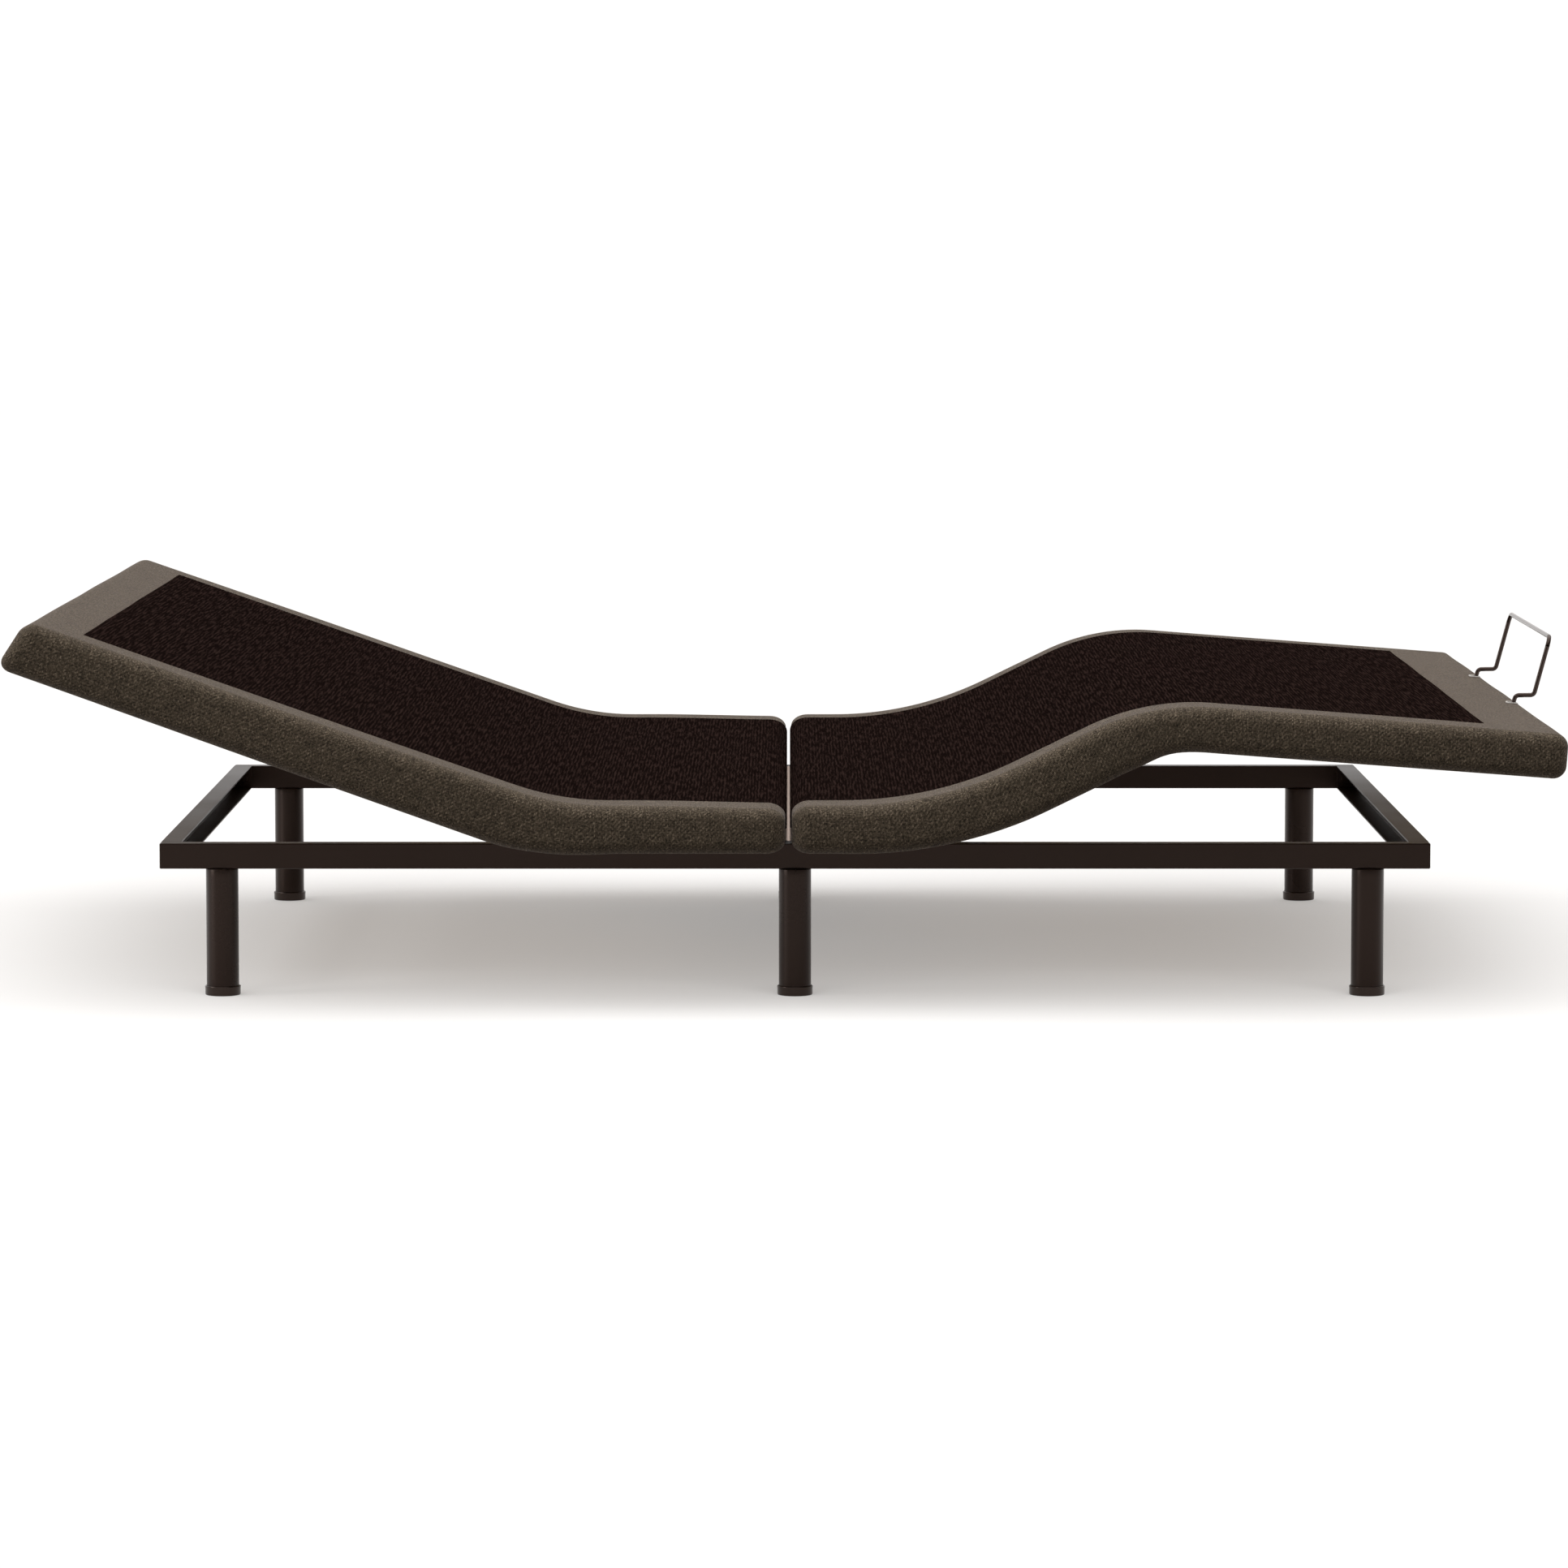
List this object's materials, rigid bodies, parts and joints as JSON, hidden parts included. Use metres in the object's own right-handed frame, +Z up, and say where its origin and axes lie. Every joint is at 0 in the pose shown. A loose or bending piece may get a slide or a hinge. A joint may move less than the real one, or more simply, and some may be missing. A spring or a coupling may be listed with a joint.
{
  "type": "adjustable bed base",
  "caption": "Adjustable bed base with a raised upholstered deck in hinged sections, on a steel frame with round legs and a mattress retainer.",
  "frame": {"origin": "on the floor, under the centre of the steel base frame", "axes": "+X along the bed towards the foot end, +Y across it, +Z up"},
  "size_m": [2.0338, 1.524, 0.4926],
  "materials": {
    "painted_steel": "satin dark brown-black powder coat",
    "leg_steel": "satin dark brown-black powder coat",
    "black_plastic": "moulded, fine texture",
    "cap_plastic": "moulded, glossy",
    "deck_fabric": "heathered brown upholstery weave with a dark ribbed panel",
    "plywood": "plywood board",
    "zinc_plate": "zinc plated",
    "retainer_steel": "satin dark coating"
  },
  "bodies": {
    "base": {"control_box": "black_plastic", "cross_rail_centre": "painted_steel", "cross_rail_foot_side": "painted_steel", "cross_rail_head_side": "painted_steel", "end_rail_foot": "painted_steel", "end_rail_head": "painted_steel", "foot_cap_foot_back": "cap_plastic", "foot_cap_foot_front": "cap_plastic", "foot_cap_head_back": "cap_plastic", "foot_cap_head_front": "cap_plastic", "foot_cap_middle_back": "cap_plastic", "foot_cap_middle_front": "cap_plastic", "head_actuator_clevis": "painted_steel", "head_actuator_gear_housing": "black_plastic", "head_actuator_motor": "painted_steel", "head_actuator_tube": "zinc_plate", "head_hinge_bracket_back": "painted_steel", "head_hinge_bracket_front": "painted_steel", "leg_foot_back": "leg_steel", "leg_foot_front": "leg_steel", "leg_head_back": "leg_steel", "leg_head_front": "leg_steel", "leg_middle_back": "leg_steel", "leg_middle_front": "leg_steel", "power_supply": "black_plastic", "seat_foot_board": "plywood", "seat_foot_pad": "deck_fabric", "seat_head_board": "plywood", "seat_head_pad": "deck_fabric", "side_rail_back": "painted_steel", "side_rail_front": "painted_steel", "thigh_actuator_clevis": "painted_steel", "thigh_actuator_gear_housing": "black_plastic", "thigh_actuator_motor": "painted_steel", "thigh_actuator_tube": "zinc_plate", "thigh_hinge_bracket_back": "painted_steel", "thigh_hinge_bracket_front": "painted_steel"},
    "head": {"head_bearer_back": "painted_steel", "head_bearer_front": "painted_steel", "head_board": "plywood", "head_lever": "painted_steel", "head_massage_motor": "black_plastic", "head_pad": "deck_fabric"},
    "thigh": {"thigh_bearer_back": "painted_steel", "thigh_bearer_front": "painted_steel", "thigh_board": "plywood", "thigh_lever": "painted_steel", "thigh_pad": "deck_fabric"},
    "foot": {"foot_bearer_back": "painted_steel", "foot_bearer_front": "painted_steel", "foot_board": "plywood", "foot_link_hanger": "painted_steel", "foot_massage_motor": "black_plastic", "foot_pad": "deck_fabric", "mattress_retainer": "retainer_steel"},
    "head_rod": {"head_actuator_rod": "zinc_plate"},
    "thigh_rod": {"thigh_actuator_rod": "zinc_plate"},
    "head_spindle": {"head_actuator_spindle": "painted_steel"},
    "thigh_spindle": {"thigh_actuator_spindle": "painted_steel"},
    "foot_link": {"foot_link": "painted_steel"}
  },
  "joints": [
    {"name": "head_hinge", "type": "hinge", "parent": "base", "child": "head", "pos_m": [-0.30647, 0, 0.2315], "axis": [0, 1, 0], "range_deg": [-19.2, 40.8]},
    {"name": "thigh_hinge", "type": "hinge", "parent": "base", "child": "thigh", "pos_m": [0.18553, 0, 0.2315], "axis": [0, -1, 0], "range_deg": [-26, 16]},
    {"name": "foot_hinge", "type": "hinge", "parent": "thigh", "child": "foot", "pos_m": [0.45975, 0, 0.34299], "axis": [0, 1, 0], "range_deg": [-30.45, 18.76]},
    {"name": "head_rod_slide", "type": "slide", "parent": "base", "child": "head_rod", "axis": [-1, 0, 0], "range_m": [-0.03271, 0.06927]},
    {"name": "thigh_rod_slide", "type": "slide", "parent": "base", "child": "thigh_rod", "axis": [1, 0, 0], "range_m": [-0.04458, 0.02751]},
    {"name": "foot_link_pivot", "type": "hinge", "parent": "base", "child": "foot_link", "pos_m": [0.19228, 0, 0.17816], "axis": [0, -1, 0], "range_deg": [-25.91, 15.96]},
    {"name": "head_spindle_spin", "type": "hinge", "parent": "base", "child": "head_spindle", "pos_m": [0.01, 0.23, 0.13792], "axis": [-1, 0, 0], "range_deg": [-1951.3, 4145.39]},
    {"name": "thigh_spindle_spin", "type": "hinge", "parent": "base", "child": "thigh_spindle", "pos_m": [-0.09, 0.02, 0.13453], "axis": [1, 0, 0], "range_deg": [-2663.81, 1639.65]}
  ],
  "couplings": [
    {"joint": "foot_hinge", "follows": "thigh_hinge", "ratio": 1.1692},
    {"joint": "head_rod_slide", "follows": "head_hinge", "m_per_rad": 0.097},
    {"joint": "thigh_rod_slide", "follows": "thigh_hinge", "m_per_rad": 0.0978},
    {"joint": "foot_link_pivot", "follows": "thigh_hinge", "ratio": 0.9945},
    {"joint": "head_spindle_spin", "follows": "head_hinge", "ratio": 101.58},
    {"joint": "thigh_spindle_spin", "follows": "thigh_hinge", "ratio": 102.42}
  ]
}
